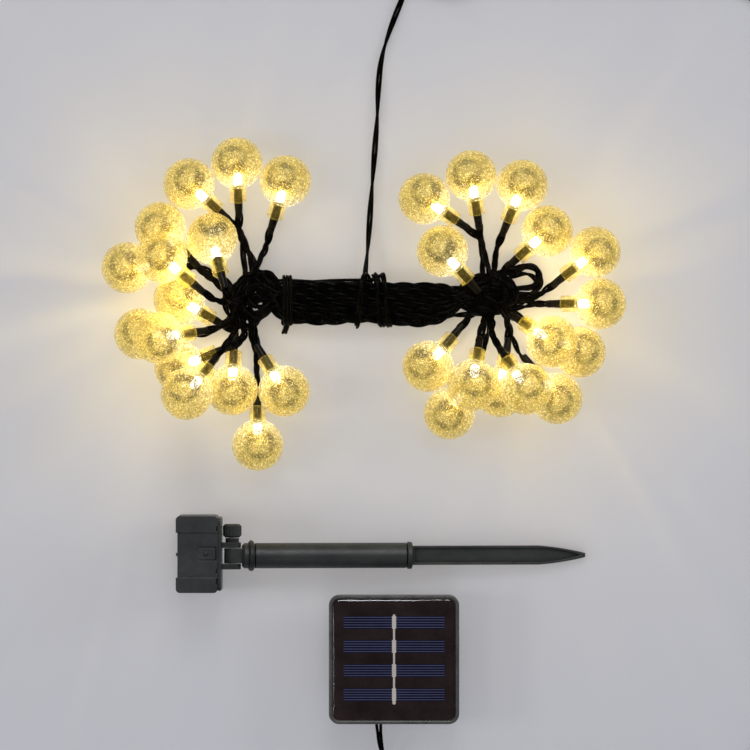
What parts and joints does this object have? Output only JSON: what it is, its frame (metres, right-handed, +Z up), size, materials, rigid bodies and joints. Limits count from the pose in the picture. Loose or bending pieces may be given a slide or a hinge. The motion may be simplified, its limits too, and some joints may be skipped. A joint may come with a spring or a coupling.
{
  "type": "solar string lights",
  "caption": "Solar string lights: lit crackle globes on a tied hank of cable, a solar module on its lead, and a hinged cradle with a ground stake.",
  "frame": {"origin": "on the surface under the middle of the laid-out object, measured without its free cords", "axes": "+Z up from the surface, +Y from the solar module towards the globes, +X along the stake from cradle to tip"},
  "size_m": [0.3245, 0.4263, 0.0495],
  "materials": {
    "crackle_globe": "clear moulded plastic with fine crackle and bubbles, lit from inside",
    "black_sleeve": "matt black sleeve",
    "lamp": "warm white lamp",
    "cable": "glossy black cable skin",
    "tie": "black tie strip",
    "lead": "glossy black two-core flex",
    "module_case": "satin dark grey moulding",
    "board": "dark lacquered board",
    "cell": "blue silicon cell",
    "tinned_strip": "tinned strip",
    "resin": "clear poured resin",
    "steel": "zinc plated steel",
    "battery_wrap": "shrink wrap",
    "button": "black soft button",
    "stake_plastic": "matt dark grey moulding",
    "dark_ring": "satin black ring"
  },
  "bodies": {
    "string_and_module": {"globe_01": "crackle_globe", "globe_02": "crackle_globe", "globe_03": "crackle_globe", "globe_04": "crackle_globe", "globe_05": "crackle_globe", "globe_06": "crackle_globe", "globe_07": "crackle_globe", "globe_08": "crackle_globe", "globe_09": "crackle_globe", "globe_10": "crackle_globe", "globe_11": "crackle_globe", "globe_12": "crackle_globe", "globe_13": "crackle_globe", "globe_14": "crackle_globe", "globe_15": "crackle_globe", "globe_16": "crackle_globe", "globe_17": "crackle_globe", "globe_18": "crackle_globe", "globe_19": "crackle_globe", "globe_20": "crackle_globe", "globe_21": "crackle_globe", "globe_22": "crackle_globe", "globe_23": "crackle_globe", "globe_24": "crackle_globe", "globe_25": "crackle_globe", "globe_26": "crackle_globe", "globe_27": "crackle_globe", "globe_28": "crackle_globe", "globe_29": "crackle_globe", "globe_30": "crackle_globe", "led_sleeves": "black_sleeve", "led_lamps": "lamp", "string_hank": "cable", "bulb_tails": "cable", "hank_tie": "tie", "panel_lead": "lead", "lead_coil": "lead", "module_bezel": "module_case", "panel_board": "board", "solar_cells": "cell", "cell_ribbon": "tinned_strip", "resin_cover": "resin", "module_shell": "module_case", "battery_cover": "module_case", "cover_screws": "steel", "battery": "battery_wrap", "battery_contacts": "tinned_strip", "circuit_board": "board", "cable_gland": "module_case"},
    "power_button": {"power_button": "button"},
    "cradle": {"cradle_body": "stake_plastic", "back_plate": "stake_plastic", "pivot_bolt": "steel", "pivot_washer": "dark_ring"},
    "release_tab": {"release_tab": "stake_plastic"},
    "thumb_knob": {"thumb_knob": "stake_plastic"},
    "stake_neck": {"stake_neck": "stake_plastic", "neck_ring": "dark_ring"},
    "stake_tube": {"stake_tube": "stake_plastic"},
    "ground_spike": {"ground_spike": "stake_plastic"}
  },
  "joints": [
    {"name": "button_press", "type": "slide", "parent": "string_and_module", "child": "power_button", "axis": [0, 0, 1], "range_m": [0, 0.0008], "stiffness_N_per_m": 800},
    {"name": "cradle_lift", "type": "slide", "parent": "string_and_module", "child": "cradle", "axis": [0, 0, 1], "range_m": [0, 0.06]},
    {"name": "tab_flex", "type": "hinge", "parent": "cradle", "child": "release_tab", "pos_m": [-0.0796, -0.0593, 0.036], "axis": [0, 1, 0], "range_deg": [0, 7], "stiffness_Nm_per_rad": 0.3},
    {"name": "knob_turn", "type": "hinge", "parent": "cradle", "child": "thumb_knob", "pos_m": [-0.0634, -0.0608, 0.0185], "axis": [0, 1, 0], "continuous": true},
    {"name": "head_tilt", "type": "hinge", "parent": "cradle", "child": "stake_neck", "pos_m": [-0.0634, -0.0608, 0.0185], "axis": [0, 1, 0], "range_deg": [-55, 45]},
    {"name": "tube_swivel", "type": "hinge", "parent": "stake_neck", "child": "stake_tube", "pos_m": [-0.0634, -0.0608, 0.0185], "axis": [0.9957, 0, -0.0926], "continuous": true},
    {"name": "spike_pull", "type": "slide", "parent": "stake_tube", "child": "ground_spike", "axis": [0.9957, 0, -0.0926], "range_m": [0, 0.024]}
  ]
}
